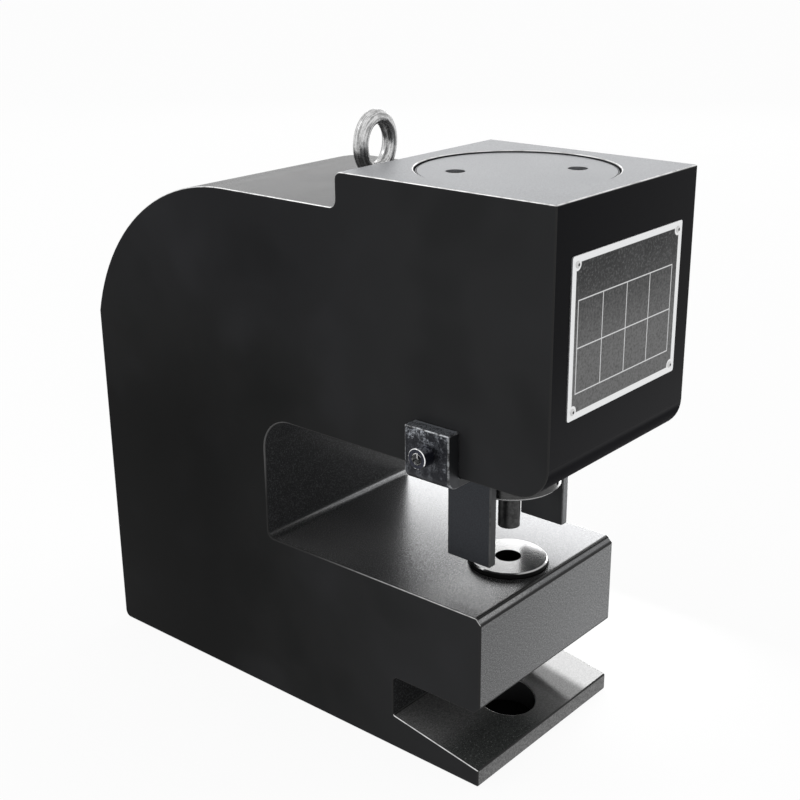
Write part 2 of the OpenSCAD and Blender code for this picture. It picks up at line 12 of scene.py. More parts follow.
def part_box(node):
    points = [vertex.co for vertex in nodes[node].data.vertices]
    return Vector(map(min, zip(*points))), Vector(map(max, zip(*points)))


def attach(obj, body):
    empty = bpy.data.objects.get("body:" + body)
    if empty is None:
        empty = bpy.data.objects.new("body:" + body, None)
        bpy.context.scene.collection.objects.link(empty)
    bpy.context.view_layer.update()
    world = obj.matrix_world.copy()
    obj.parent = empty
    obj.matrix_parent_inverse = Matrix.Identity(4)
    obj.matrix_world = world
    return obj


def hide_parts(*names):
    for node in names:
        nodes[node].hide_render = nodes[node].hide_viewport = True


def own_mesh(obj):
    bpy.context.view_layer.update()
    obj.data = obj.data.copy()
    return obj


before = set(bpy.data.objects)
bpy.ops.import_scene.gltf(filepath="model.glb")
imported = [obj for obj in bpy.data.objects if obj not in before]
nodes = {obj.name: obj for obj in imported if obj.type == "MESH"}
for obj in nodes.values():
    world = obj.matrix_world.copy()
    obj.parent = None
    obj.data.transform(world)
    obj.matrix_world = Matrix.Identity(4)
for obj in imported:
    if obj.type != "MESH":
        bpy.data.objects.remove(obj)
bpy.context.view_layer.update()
scene = bpy.context.scene


def grey(v):
    return (v, v, v)


# Lengths of the CAD model that no node's box gives
DIE_PROUD = 0.004  # die's top above the jaw's
JAW_REACH = 0.034  # punch axis to the jaw's front
JAW_THICKNESS = 0.067
JAW_BEVEL = 0.004
TOE_HOLE_R = 0.0205
THROAT_DEPTH = 0.1485  # punch axis to the throat's rear wall
EYE_R = 0.022
RIVET_R = 0.0022
RIVET_INSET = 0.005  # nameplate's edges to the rivets' middles

# Heights and depths that the materials refer to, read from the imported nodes
head_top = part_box("frame")[1].z
side_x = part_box("frame")[1].x
axis_y = (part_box("die")[0].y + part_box("die")[1].y) / 2
jaw_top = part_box("die")[1].z - DIE_PROUD
jaw_front = axis_y - JAW_REACH
jaw_under = jaw_top - JAW_THICKNESS
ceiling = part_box("rod_wiper")[0].z
throat_rear = axis_y + THROAT_DEPTH

# Low for dark faces, which mirror little of the white surroundings
PAINT_IOR = 1.1
PLATE_IOR = 1.2

# Colours of the frame's paint
PAINT_DARK, PAINT_LIGHT = (0.0175, 0.018, 0.0182), (0.0212, 0.0213, 0.0216)
PAINT_HIGH = (0.0255, 0.0258, 0.0278)
PAINT_FORE = (0.0372, 0.0377, 0.0392)
# Painted shade, low down at the rear of the sides
PAINT_REAR_FOOT_SHADE = (0.0092, 0.0093, 0.0094)
DUST, DIRT = (0.055, 0.056, 0.062), (0.006, 0.0065, 0.0062)
FACE_UPPER, FACE_LOWER = (0.0024, 0.0024, 0.004), (0.0165, 0.0165, 0.0185)
THROAT_DARK, THROAT_LIGHT = (0.022, 0.0225, 0.0233), (0.062, 0.0632, 0.0655)

# Dark and light grain of the frame's bare steel
JAW_FRONT_LEFT = (0.07, 0.071, 0.072), (0.225, 0.227, 0.23)
JAW_FRONT_RIGHT = (0.1, 0.102, 0.104), (0.31, 0.313, 0.317)
JAW_TOP_LEFT = (0.06, 0.061, 0.062), (0.275, 0.278, 0.284)
JAW_TOP_RIGHT = (0.13, 0.1315, 0.1345), (0.205, 0.207, 0.2115)
TOE_FRONT = grey(0.07), grey(0.21)
TOE_TOP = (0.05, 0.055, 0.053), (0.12, 0.126, 0.123)
TOE_TOP_REAR = grey(0.16), grey(0.32)
MILLED = (0.25, 0.255, 0.266), (0.36, 0.367, 0.382)
MILLED_ROUGH = 0.42, 0.48

# Painted light and shadow on the toe from left to right: the x where a band starts and is full, and its dark
# and light grain
TOE_LIGHT_AND_SHADOW_BANDS = (
    (-0.02, 0.014, grey(0.17), grey(0.26)),
    (0.022, 0.032, grey(0.065), grey(0.11)),
    (0.044, 0.054, grey(0.24), grey(0.31)),
)

# Colours of the strippers' bar steel, with painted light on the legs' faces towards the punch, on the legs'
# front ends and on the clamp plates' front faces
LEG_DARK, LEG_LIGHT = (0.026, 0.028, 0.032), (0.042, 0.045, 0.052)
LEG_INSIDE_PAINTED_LIGHT = (0.075, 0.077, 0.08)
LEFT_LEG_END_LIT, RIGHT_LEG_END_LIT = (0.045, 0.046, 0.048), (0.16, 0.163, 0.168)
CLAMP_DARK, CLAMP_LIGHT = (0.008, 0.0086, 0.0115), (0.026, 0.0276, 0.033)
CLAMP_FRONT_LIT = (0.05, 0.052, 0.056)
SCUFFED = (0.74, 0.78, 0.85)
RUBBED_EDGE = (0.6, 0.62, 0.65)

# Colours of the black screws, with a painted highlight for their upper side
OXIDE_DARK, OXIDE_LIGHT = (0.012, 0.013, 0.022), (0.045, 0.048, 0.066)
OXIDE_TOP_HIGHLIGHT = (0.6, 0.62, 0.68)

# Nameplate: its border, ears round the rivets, and a plain grid placed by shares of its width and height
PLATE_BORDER = 0.004
PLATE_EAR_R = 0.0036
PLATE_LINE_HALF = 0.00036
PLATE_SOFT = 0.00018
GRID_LEFT, GRID_RIGHT, GRID_COLUMNS = 0.06, 0.92, 4
GRID_ROWS = (0.27, 0.56, 0.84)
PLATE_DARK, PLATE_LIGHT = (0.036, 0.0367, 0.038), (0.062, 0.063, 0.065)
PLATE_BRIGHT = (0.93, 0.935, 0.94)


class Nodes:
    """Short forms that add shader nodes to one tree and give their output."""

    def __init__(self, tree):
        self.tree = tree

    def new(self, kind):
        return self.tree.nodes.new("ShaderNode" + kind)

    def put(self, socket, value):
        """Links an input to a socket, or sets the input's value."""
        if isinstance(value, bpy.types.NodeSocket):
            self.tree.links.new(value, socket)
        elif socket.type == "RGBA":
            socket.default_value = (*value, 1.0)
        else:
            socket.default_value = value

    def calc(self, kind, a, b=0.0):
        n = self.new("Math")
        n.operation = kind
        self.put(n.inputs[0], a)
        self.put(n.inputs[1], b)
        return n.outputs[0]

    def times(self, first, *others):
        for other in others:
            first = self.calc("MULTIPLY", first, other)
        return first

    def most(self, first, *others):
        for other in others:
            first = self.calc("MAXIMUM", first, other)
        return first

    def plus(self, a, b):
        return self.calc("ADD", a, b)

    def minus(self, a, b):
        return self.calc("SUBTRACT", a, b)

    def size(self, value):
        return self.calc("ABSOLUTE", value)

    def reach(self, a, b):
        """Length of the vector with the parts a and b."""
        return self.calc("SQRT", self.plus(self.calc("POWER", a, 2.0), self.calc("POWER", b, 2.0)))

    def smooth(self, value, low, high):
        """0 at low and before, 1 at high and beyond, and smooth between; low may be the larger."""
        n = self.new("MapRange")
        n.interpolation_type = "SMOOTHSTEP"
        self.put(n.inputs["Value"], value)
        n.inputs["From Min"].default_value = min(low, high)
        n.inputs["From Max"].default_value = max(low, high)
        n.inputs["To Min"].default_value = 1.0 if low > high else 0.0
        n.inputs["To Max"].default_value = 0.0 if low > high else 1.0
        return n.outputs[0]

    def band(self, value, start, full, fade, stop):
        """Rises to 1 from start to full, and falls to 0 from fade to stop."""
        return self.times(self.smooth(value, start, full), self.smooth(value, stop, fade))

    def span(self, value, low, high):
        """Carries 0..1 to low..high."""
        n = self.new("MapRange")
        self.put(n.inputs["Value"], value)
        n.inputs["To Min"].default_value = low
        n.inputs["To Max"].default_value = high
        return n.outputs[0]

    def mix(self, factor, a, b):
        """Mixes two colours, given as sockets or (r, g, b)."""
        n = self.new("Mix")
        n.data_type = "RGBA"
        self.put(n.inputs[0], factor)
        self.put(n.inputs[6], a)
        self.put(n.inputs[7], b)
        return n.outputs[2]

    def blend(self, factor, a, b):
        """Mixes two numbers."""
        n = self.new("Mix")
        n.data_type = "FLOAT"
        self.put(n.inputs[0], factor)
        self.put(n.inputs[2], a)
        self.put(n.inputs[3], b)
        return n.outputs[0]


class Finish(Nodes):
    """A material with one Principled shader, and the places and normals that its patterns use."""

    def __init__(self, name, metallic=0.0, ior=1.5):
        self.material = bpy.data.materials.new(name)
        self.material.use_nodes = True
        super().__init__(self.material.node_tree)
        self.shader = self.tree.nodes["Principled BSDF"]
        self.set(Metallic=metallic, IOR=ior)
        coords = self.new("TexCoord")
        self.place = coords.outputs["Object"]
        at = self.new("SeparateXYZ")
        self.put(at.inputs[0], self.place)
        self.x, self.y, self.z = at.outputs
        normal = self.new("SeparateXYZ")
        self.put(normal.inputs[0], coords.outputs["Normal"])
        self.nx, self.ny, self.nz = normal.outputs

    def set(self, **inputs):
        """Feeds the shader's inputs, named with _ for a space."""
        for name, value in inputs.items():
            self.put(self.shader.inputs[name.replace("_", " ")], value)

    def noise(self, scale, detail=3.0, rough=0.55, stretch=None, where=None):
        """Noise of so many cells a metre; stretch scales X, Y and Z apart."""
        if where is None:
            where = self.place
        if stretch:
            m = self.new("Mapping")
            self.put(m.inputs["Scale"], stretch)
            self.put(m.inputs["Vector"], where)
            where = m.outputs[0]
        n = self.new("TexNoise")
        self.put(n.inputs["Scale"], scale)
        self.put(n.inputs["Detail"], detail)
        self.put(n.inputs["Roughness"], rough)
        self.put(n.inputs["Vector"], where)
        return n.outputs["Fac"]

    def bump(self, height, strength, distance=0.0001):
        n = self.new("Bump")
        self.put(n.inputs["Strength"], strength)
        self.put(n.inputs["Distance"], distance)
        self.put(n.inputs["Height"], height)
        self.put(self.shader.inputs["Normal"], n.outputs[0])


def frame_paint():
    """Black paint, with the head's top milled and the worked faces of jaw and toe as thinly blackened steel."""
    f = Finish("black_paint", ior=PAINT_IOR)
    flat_face = f.smooth(f.size(f.nx), 0.5, 0.3)
    looks_up = f.smooth(f.nz, 0.35, 0.6)
    looks_down = f.smooth(f.nz, -0.02, -0.3)
    looks_front = f.smooth(f.ny, -0.35, -0.6)
    low = f.smooth(f.z, jaw_top + 0.004, jaw_top + 0.001)
    toe = f.smooth(f.z, jaw_under, jaw_under - 0.004)
    toe_top = f.times(toe, looks_up)
    front = f.times(looks_front, f.smooth(f.y, jaw_front + 0.014, jaw_front + 0.008))
    work_face = f.times(low, flat_face, f.most(looks_up, front))
    below_head = f.smooth(f.z, ceiling + 0.003, ceiling + 0.001)
    inner = f.times(below_head, f.smooth(f.ny, 0.4, 0.1), flat_face)
    top = f.times(f.smooth(f.z, head_top - 0.004, head_top - 0.002), looks_up)

    grain = f.noise(1500, 2.0, 0.7)
    coarse = f.noise(760, 3.0, 0.75)
    clouds = f.noise(22, 3.0)
    peel = f.noise(420, 2.0)
    smudge = f.noise(12, 2.0, 0.5)
    fleck = f.smooth(f.noise(1100, 3.0, 0.7), 0.46, 0.68)
    specks = f.smooth(f.noise(900, 2.0, 0.6), 0.6, 0.72)
    speckle = f.smooth(f.plus(f.times(grain, 0.5), f.times(coarse, 0.5)), 0.38, 0.64)

    def speckled(dark, light):
        return f.mix(speckle, dark, light)

    # The paint is lighter towards the front and top of the sides, darkened with painted shade low down at the
    # rear, and smudged
    foot = f.smooth(f.z, jaw_top + 0.15, jaw_top + 0.05)
    rear_foot_shade = f.times(foot, f.smooth(f.y, axis_y + 0.13, axis_y + 0.22))
    paint = f.mix(f.smooth(clouds, 0.3, 0.7), PAINT_DARK, PAINT_LIGHT)
    paint = f.mix(f.smooth(f.z, head_top - 0.15, head_top - 0.06), paint, PAINT_HIGH)
    paint = f.mix(f.smooth(f.y, axis_y + 0.16, axis_y - 0.02), paint, PAINT_FORE)
    paint = f.mix(rear_foot_shade, paint, PAINT_REAR_FOOT_SHADE)
    dusty = f.times(f.smooth(smudge, 0.5, 0.72), f.span(rear_foot_shade, 0.22, 0.08))
    paint = f.mix(dusty, paint, DUST)
    paint = f.mix(f.times(f.smooth(smudge, 0.48, 0.3), 0.24), paint, DIRT)

    # The faces that look forward are darker high up, and the throat's walls are flecked
    face = f.mix(f.smooth(f.z, ceiling + 0.1, ceiling + 0.02), FACE_UPPER, FACE_LOWER)
    paint = f.mix(f.times(flat_face, looks_front), paint, face)
    paint = f.mix(inner, paint, f.mix(fleck, THROAT_DARK, THROAT_LIGHT))

    # The jaw is paler to the right in front, rubbed lighter on top at the left, and darkened with painted shade
    # at the left where it meets the throat's rear wall
    bare = f.mix(f.smooth(f.x, -0.075, 0.075), speckled(*JAW_FRONT_LEFT), speckled(*JAW_FRONT_RIGHT))
    jaw = f.mix(f.smooth(f.x, -0.035, 0.02), speckled(*JAW_TOP_LEFT), speckled(*JAW_TOP_RIGHT))
    bare = f.mix(looks_up, bare, jaw)
    far_left = f.times(f.smooth(f.x, 0.0, -0.04), f.smooth(f.y, axis_y + 0.05, axis_y + 0.1))
    bare = f.mix(f.times(far_left, looks_up, 0.5), bare, grey(0.32))
    corner = f.times(f.smooth(f.x, 0.0, -0.05), f.smooth(f.y, axis_y + 0.035, axis_y))
    bare = f.mix(f.times(corner, looks_up, 0.3), bare, grey(0.5))
    root_shade = f.smooth(f.y, throat_rear - 0.008, throat_rear - 0.005)
    bare = f.mix(f.times(root_shade, f.smooth(f.x, -0.005, -0.06), 0.45), bare, grey(0.03))

    # The toe's top is black at the left front, with specks of dust, and has bands of painted light and shadow
    # towards the right
    bare = f.mix(f.times(toe, looks_front), bare, speckled(*TOE_FRONT))
    toe_steel = f.mix(f.smooth(f.y, axis_y - 0.015, axis_y + 0.01), speckled(*TOE_TOP), speckled(*TOE_TOP_REAR))
    toe_steel = f.mix(f.times(specks, 0.5), toe_steel, grey(0.45))
    for start, full, dark, light in TOE_LIGHT_AND_SHADOW_BANDS:
        toe_steel = f.mix(f.smooth(f.x, start, full), toe_steel, speckled(dark, light))
    bare = f.mix(toe_top, bare, toe_steel)

    # Two dark lines run along the jaw's bevel, by the distance across it
    across = f.plus(f.minus(f.y, jaw_front), f.minus(f.z, jaw_top - JAW_BEVEL))
    upper = f.band(across, 0.005, 0.0062, 0.0086, 0.0098)
    lower = f.band(across, -0.0012, 0.0, 0.0016, 0.0028)
    lines = f.times(f.most(upper, f.times(lower, 0.7)), f.smooth(f.z, jaw_top - 0.014, jaw_top - 0.01))
    bare = f.mix(lines, bare, grey(0.012))

    painted_rough = f.blend(looks_down, f.span(clouds, 0.2, 0.28), 0.95)
    worked_rough = f.blend(toe, f.span(grain, 0.2, 0.32), f.span(grain, 0.08, 0.15))
    f.set(
        Base_Color=f.mix(top, f.mix(work_face, paint, bare), speckled(*MILLED)),
        Metallic=f.blend(top, f.times(work_face, f.span(toe_top, 0.8, 0.45)), 0.95),
        Roughness=f.blend(
            top, f.blend(work_face, painted_rough, worked_rough), f.span(clouds, *MILLED_ROUGH)
        ),
    )
    even = f.times(grain, f.span(f.times(work_face, looks_up), 1.0, 0.4))
    f.bump(f.blend(f.most(work_face, top), peel, even), 0.12, 0.00015)
    return f.material


def frame_edge():
    """Broken edges of the paint.

    Bare and bright where they look up, dull elsewhere and along the jaw's rear, and paler round the throat's
    upper corner.
    """
    f = Finish("black_paint_edge", ior=PAINT_IOR)
    up = f.smooth(f.nz, 0.25, 0.6)
    beside = f.smooth(f.size(f.nx), 0.2, 0.4)
    high = f.smooth(f.z, jaw_top + 0.02, jaw_top + 0.04)
    at_jaw = f.smooth(f.size(f.minus(f.z, jaw_top)), 0.012, 0.004)
    rear = f.span(f.smooth(f.y, axis_y, axis_y + 0.12), 0.35, 1.0)
    patchy = f.span(f.smooth(f.noise(160, 3.0), 0.25, 0.6), 0.6, 1.0)
    worn = f.times(up, patchy, f.most(beside, high), f.minus(1.0, f.times(at_jaw, rear)))
    below_head = f.band(f.z, ceiling - 0.065, ceiling - 0.025, ceiling, ceiling + 0.002)
    arc = f.times(below_head, f.smooth(f.y, throat_rear - 0.04, throat_rear - 0.018))
    f.set(
        Base_Color=f.mix(worn, f.mix(arc, grey(0.035), grey(0.11)), grey(0.75)),
        Metallic=f.blend(worn, 0.5, 0.95),
        Roughness=f.blend(worn, 0.4, 0.3),
    )
    return f.material


def cap_finish():
    """Milled top of the cap, with painted shade in its spanner holes and in a ring near its rim."""
    cap_top, cap_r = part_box("top_cap")[1].z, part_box("top_cap")[1].x
    f = Finish("cap_finish", ior=PAINT_IOR)
    grain = f.noise(1500, 2.0, 0.7)
    clouds = f.noise(22, 3.0)
    # Painted shade in the spanner holes and in a ring near the rim
    deep_shade = f.smooth(f.z, cap_top - 0.001, cap_top - 0.003)
    inset = f.minus(cap_r, f.reach(f.x, f.minus(f.y, axis_y)))
    ring = f.band(inset, 0.0013, 0.0015, 0.0019, 0.0021)
    milled = f.mix(f.smooth(grain, 0.3, 0.72), *MILLED)
    milled = f.mix(f.times(ring, 0.75), milled, grey(0.01))
    f.set(
        Base_Color=f.mix(deep_shade, milled, grey(0.004)),
        Metallic=f.blend(f.most(deep_shade, ring), 0.95, 0.0),
        Roughness=f.blend(deep_shade, f.span(clouds, *MILLED_ROUGH), 0.8),
    )
    f.bump(grain, 0.1, 0.00015)
    return f.material


def clamp_plate(f):
    """1 on the strippers' clamp plates beside the head, 0 on their legs under it."""
    return f.smooth(f.size(f.x), side_x - 0.002, side_x + 0.003)


def stripper_finish():
    """Blackened bar steel: scuffed on the clamp plate, plain on the leg, with painted light on the faces
    towards the punch, on the plate's front faces and on the legs' sawn front ends.
    """
    low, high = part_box("left_stripper")
    f = Finish("blackened_steel", metallic=0.8)
    fine = f.noise(1100, 3.0, 0.7)
    plate = clamp_plate(f)
    looks_front = f.smooth(f.ny, -0.5, -0.9)

    def scratches(scale, stretch):
        away = f.size(f.minus(f.noise(scale, 5.0, 0.7, stretch), 0.5))
        return f.smooth(away, 0.03, 0.006)

    # Scuffs: scratches and specks in patches and along two rims of the plate, and a rubbed upper edge
    lines = f.most(scratches(230, (1.0, 0.5, 1.5)), scratches(260, (1.0, 1.5, 0.5)))
    specks = f.smooth(f.noise(900, 4.0, 0.8), 0.54, 0.64)
    patches = f.times(f.smooth(f.noise(110, 3.0), 0.46, 0.66), 0.14)
    upper_rim = f.smooth(f.z, high.z - 0.017, high.z - 0.002)
    front_rim = f.smooth(f.y, low.y + 0.008, low.y + 0.001)
    rims = f.most(f.times(upper_rim, 0.6), f.times(front_rim, 0.7))
    rubbed = f.most(patches, f.times(rims, f.smooth(f.noise(170, 3.0), 0.45, 0.62)))
    on_side = f.times(f.most(lines, f.times(specks, 0.8)), rubbed, f.smooth(f.size(f.nx), 0.4, 0.7))
    by_head = f.smooth(f.size(f.x), side_x + 0.004, side_x + 0.001)
    on_top = f.most(f.times(lines, 0.7), f.span(by_head, 0.12, 0.75))
    on_top = f.times(f.smooth(f.nz, 0.5, 0.8), on_top)
    scuff = f.times(f.most(on_side, on_top), plate)

    clamp = f.mix(f.smooth(fine, 0.35, 0.65), CLAMP_DARK, CLAMP_LIGHT)
    steel = f.mix(f.smooth(fine, 0.3, 0.7), LEG_DARK, LEG_LIGHT)
    steel = f.mix(plate, steel, clamp)
    # Painted light: the plate's front faces, the legs' front ends (the right one most) and the faces towards
    # the punch are lighter
    steel = f.mix(f.times(looks_front, plate), steel, CLAMP_FRONT_LIT)
    lit_leg_end = f.times(looks_front, f.smooth(plate, 0.6, 0.2))
    steel = f.mix(lit_leg_end, steel, f.mix(f.smooth(f.x, -0.01, 0.01), LEFT_LEG_END_LIT, RIGHT_LEG_END_LIT))
    inner_face_lit = f.calc("LESS_THAN", f.times(f.nx, f.x), -0.02)
    steel = f.mix(inner_face_lit, steel, LEG_INSIDE_PAINTED_LIGHT)
    f.set(Base_Color=f.mix(scuff, steel, SCUFFED), Roughness=f.span(fine, 0.34, 0.56))
    f.bump(f.plus(fine, scuff), 0.2, 0.00015)
    return f.material


def stripper_edge():
    """Edges of the bar steel, rubbed bright in places on the clamp plate."""
    f = Finish("blackened_steel_edge", metallic=0.8)
    fine = f.noise(1100, 3.0, 0.7)
    rubbed = f.times(f.smooth(f.noise(240, 4.0, 0.7), 0.4, 0.58), f.span(clamp_plate(f), 0.12, 1.0))
    rubbed = f.times(rubbed, f.span(f.smooth(f.nz, 0.1, 0.5), 0.45, 0.85))
    f.set(Base_Color=f.mix(rubbed, grey(0.05), RUBBED_EDGE), Roughness=f.span(fine, 0.34, 0.5))
    return f.material


def screw_finish():
    """Black screws with a painted highlight on their upper side, and a socket whose floor is darkened with
    painted shade and whose walls are bare.
    """
    low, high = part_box("left_stripper_screw")
    f = Finish("black_oxide", metallic=0.8)
    n = f.noise(900, 4.0, 0.7)
    off_axis = f.reach(f.minus(f.y, (low.y + high.y) / 2), f.minus(f.z, (low.z + high.z) / 2))
    outer = f.smooth(f.size(f.x), -low.x - 0.0048, -low.x - 0.0035)
    # Painted shade darkens the socket's floor, and a painted highlight lightens the heads' upper side
    socket = f.times(f.smooth(off_axis, 0.0042, 0.0036), outer)
    wall = f.times(socket, f.smooth(f.size(f.nx), 0.6, 0.3))
    rubbed = f.times(f.smooth(f.nz, 0.45, 0.85), f.smooth(f.noise(420, 3.0, 0.6), 0.42, 0.56))
    oxide = f.mix(f.smooth(n, 0.3, 0.7), OXIDE_DARK, OXIDE_LIGHT)
    oxide = f.mix(f.times(rubbed, 0.7), oxide, OXIDE_TOP_HIGHLIGHT)
    oxide = f.mix(socket, oxide, grey(0.004))
    f.set(Base_Color=f.mix(wall, oxide, grey(0.6)), Roughness=f.span(n, 0.22, 0.42))
    f.bump(n, 0.1)
    return f.material


def die_finish():
    """Die, black outside and ground on top."""
    f = Finish("die_steel", metallic=1.0)
    ground = f.smooth(f.nz, 0.35, 0.6)
    grain = f.noise(900, 3.0, 0.65)
    f.set(
        Base_Color=f.mix(ground, grey(0.012), f.mix(grain, grey(0.3), grey(0.42))),
        Roughness=f.blend(ground, 0.45, f.span(grain, 0.13, 0.24)),
    )
    f.bump(grain, 0.04)
    return f.material


def eye_finish():
    """Forged lifting eye, bright and scratched along its ring."""
    low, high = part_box("eye_bolt")
    f = Finish("eye_steel", metallic=0.8)
    marks = f.noise(420, 5.0, 0.75)
    dx = f.minus(f.x, (low.x + high.x) / 2)
    dz = f.minus(f.z, high.z - EYE_R)
    round_ring = f.new("CombineXYZ")
    f.put(round_ring.inputs[0], f.reach(dx, dz))
    f.put(round_ring.inputs[1], f.y)
    f.put(round_ring.inputs[2], f.times(f.calc("ARCTAN2", dz, dx), 0.0012))
    scratch = f.noise(900, 4.0, 0.5, where=round_ring.outputs[0])
    tone = f.plus(f.times(marks, 0.4), f.times(scratch, 0.6))
    f.set(
        Base_Color=f.mix(f.smooth(tone, 0.4, 0.6), grey(0.3), grey(0.78)),
        Roughness=f.span(scratch, 0.14, 0.36),
    )
    f.bump(f.plus(f.times(marks, 0.5), scratch), 0.45, 0.0003)
    return f.material


def nut_finish():
    """Dark turned nut, with a painted highlight on its lower bevelled rim."""
    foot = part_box("punch_nut")[0].z
    f = Finish("nut_steel", metallic=1.0)
    turned = f.noise(900, 3.0, 0.6, (0.3, 0.3, 1.4))
    # Painted highlight: the lower bevel is pale and matt
    chamfer_highlight = f.times(f.smooth(f.z, foot + 0.002, foot + 0.0015), f.smooth(f.nz, -0.3, -0.6))
    chamfer_highlight = f.times(chamfer_highlight, f.smooth(f.nz, -0.98, -0.9))
    dark = f.mix(f.smooth(turned, 0.3, 0.7), grey(0.05), grey(0.075))
    f.set(
        Base_Color=f.mix(chamfer_highlight, dark, grey(0.8)),
        Metallic=f.blend(chamfer_highlight, 1.0, 0.25),
        Roughness=f.blend(chamfer_highlight, f.span(turned, 0.24, 0.32), 0.35),
    )
    f.bump(turned, 0.05)
    return f.material


def metal(name, dark, light, rough, scale, turn=(0.3, 0.7)):
    """Plain metal whose tone and roughness wander between two values, the tone within the given noise."""
    f = Finish(name, metallic=1.0)
    n = f.noise(scale, 4.0, 0.65)
    f.set(Base_Color=f.mix(f.smooth(n, *turn), dark, light), Roughness=f.span(n, *rough))
    f.bump(n, 0.05)
    return f.material


def rubber(name, dark, light, rough):
    """Rubber or plastic whose tone and roughness wander a little."""
    f = Finish(name)
    n = f.noise(600, 3.0)
    f.set(Base_Color=f.mix(n, dark, light), Roughness=f.span(n, rough - 0.08, rough + 0.1))
    f.bump(n, 0.08)
    return f.material


def plate_finish():
    """Etched plate: bright border with ears round the rivets, and a plain grid on a dark field, paler below."""
    low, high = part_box("nameplate")
    f = Finish("etched_plate", ior=PLATE_IOR)
    width, height = high.x - low.x, high.z - low.z
    edge_x = f.minus(width / 2, f.size(f.minus(f.x, (low.x + high.x) / 2)))
    edge_z = f.minus(height / 2, f.size(f.minus(f.z, (low.z + high.z) / 2)))

    def up_to(value, limit):
        return f.smooth(value, limit + PLATE_SOFT, limit - PLATE_SOFT)

    def line(value, at):
        return up_to(f.size(f.minus(value, at)), PLATE_LINE_HALF)

    def between(value, first, last):
        start, stop = first - PLATE_LINE_HALF, last + PLATE_LINE_HALF
        return f.band(value, start - PLATE_SOFT, start + PLATE_SOFT, stop - PLATE_SOFT, stop + PLATE_SOFT)

    border = up_to(f.calc("MINIMUM", edge_x, edge_z), PLATE_BORDER)
    ear = up_to(f.reach(f.minus(edge_x, RIVET_INSET), f.minus(edge_z, RIVET_INSET)), PLATE_EAR_R)
    left, right = low.x + GRID_LEFT * width, low.x + GRID_RIGHT * width
    columns = [left + (right - left) * i / GRID_COLUMNS for i in range(GRID_COLUMNS + 1)]
    rows = [high.z - share * height for share in GRID_ROWS]
    down, across = between(f.z, rows[-1], rows[0]), between(f.x, left, right)
    grid = f.most(
        *[f.times(line(f.x, x), down) for x in columns], *[f.times(line(f.z, z), across) for z in rows]
    )
    bright = f.most(border, ear, f.times(grid, 0.85))

    fine = f.noise(620, 4.0, 0.75)
    field = f.mix(f.smooth(f.noise(40, 3.0), 0.3, 0.7), PLATE_DARK, PLATE_LIGHT)
    field = f.mix(f.smooth(f.z, high.z - 0.04 * height, high.z - 0.7 * height), field, grey(0.25))
    field = f.mix(f.times(f.smooth(fine, 0.46, 0.7), 0.42), field, grey(0.36))
    field = f.mix(f.times(f.smooth(fine, 0.52, 0.34), 0.5), field, grey(0.06))
    f.set(
        Base_Color=f.mix(bright, field, PLATE_BRIGHT),
        Metallic=f.times(bright, 0.8),
        Roughness=f.blend(bright, f.span(fine, 0.4, 0.55), 0.35),
    )
    f.bump(f.plus(bright, f.times(fine, 0.1)), 0.2)
    return f.material


def rivet_finish():
    """Rivets with pale heads and a dark dimple."""
    low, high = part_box("nameplate_rivets")
    f = Finish("rivet_metal", metallic=0.6)
    dx = f.minus(f.size(f.minus(f.x, (low.x + high.x) / 2)), (high.x - low.x) / 2 - RIVET_R)
    dz = f.minus(f.size(f.minus(f.z, (low.z + high.z) / 2)), (high.z - low.z) / 2 - RIVET_R)
    dimple = f.smooth(f.reach(dx, dz), 0.0011, 0.0007)
    n = f.noise(900, 3.0)
    head = f.mix(n, grey(0.6), grey(0.85))
    f.set(Base_Color=f.mix(dimple, head, grey(0.02)), Roughness=f.span(n, 0.28, 0.4))
    return f.material


blackened = stripper_finish()
oxide = screw_finish()
spring = metal("spring_steel", grey(0.2), grey(0.3), (0.3, 0.45), 400)
bronze = metal("bronze", (0.4, 0.26, 0.1), (0.56, 0.38, 0.17), (0.28, 0.42), 400)
seal = rubber("seal_rubber", grey(0.012), grey(0.025), 0.6)
urethane = rubber("polyurethane", (0.03, 0.12, 0.19), (0.05, 0.17, 0.26), 0.4)

finishes = {
    "frame": frame_paint(),
    "top_cap": cap_finish(),
    "nameplate": plate_finish(),
    "nameplate_rivets": rivet_finish(),
    "eye_bolt": eye_finish(),
    "coupler_body": metal("zinc_plate", grey(0.32), grey(0.46), (0.24, 0.4), 250),
    "coupler_valve": bronze,
    "rod_bush": bronze,
    "ram": metal("bright_steel", grey(0.34), grey(0.5), (0.22, 0.38), 500),
    "punch_nut": nut_finish(),
    "die": die_finish(),
    "punch": metal("tool_steel", grey(0.035), grey(0.075), (0.3, 0.5), 400),
    "return_spring": spring,
    "coupler_spring": spring,
    "coupler_retainer": spring,
    "cap_seal": seal,
    "coupler_seal": seal,
    "piston_seal": urethane,
    "rod_wiper": urethane,
    "piston_guide_ring": rubber("guide_plastic", (0.1, 0.06, 0.035), (0.15, 0.095, 0.055), 0.5),
    "left_stripper": blackened,
    "right_stripper": blackened,
    "left_stripper_screw": oxide,
    "right_stripper_screw": oxide,
    "die_set_screw": oxide,
}
for name, material in finishes.items():
    nodes[name].data.materials.clear()
    nodes[name].data.materials.append(material)

# Small edge breaks, as modifiers over the CAD meshes, whose vertices stay as they are
EDGE_BREAK = 0.0009
SCREW_EDGE_BREAK = 0.0005
BREAK_SEGMENTS = 2
SAME_POINT = 2e-6
SAME_FACE_ANGLE = math.radians(0.4)
EDGE_ANGLE = math.radians(35)
FLAT_FACE_WEIGHT = 60


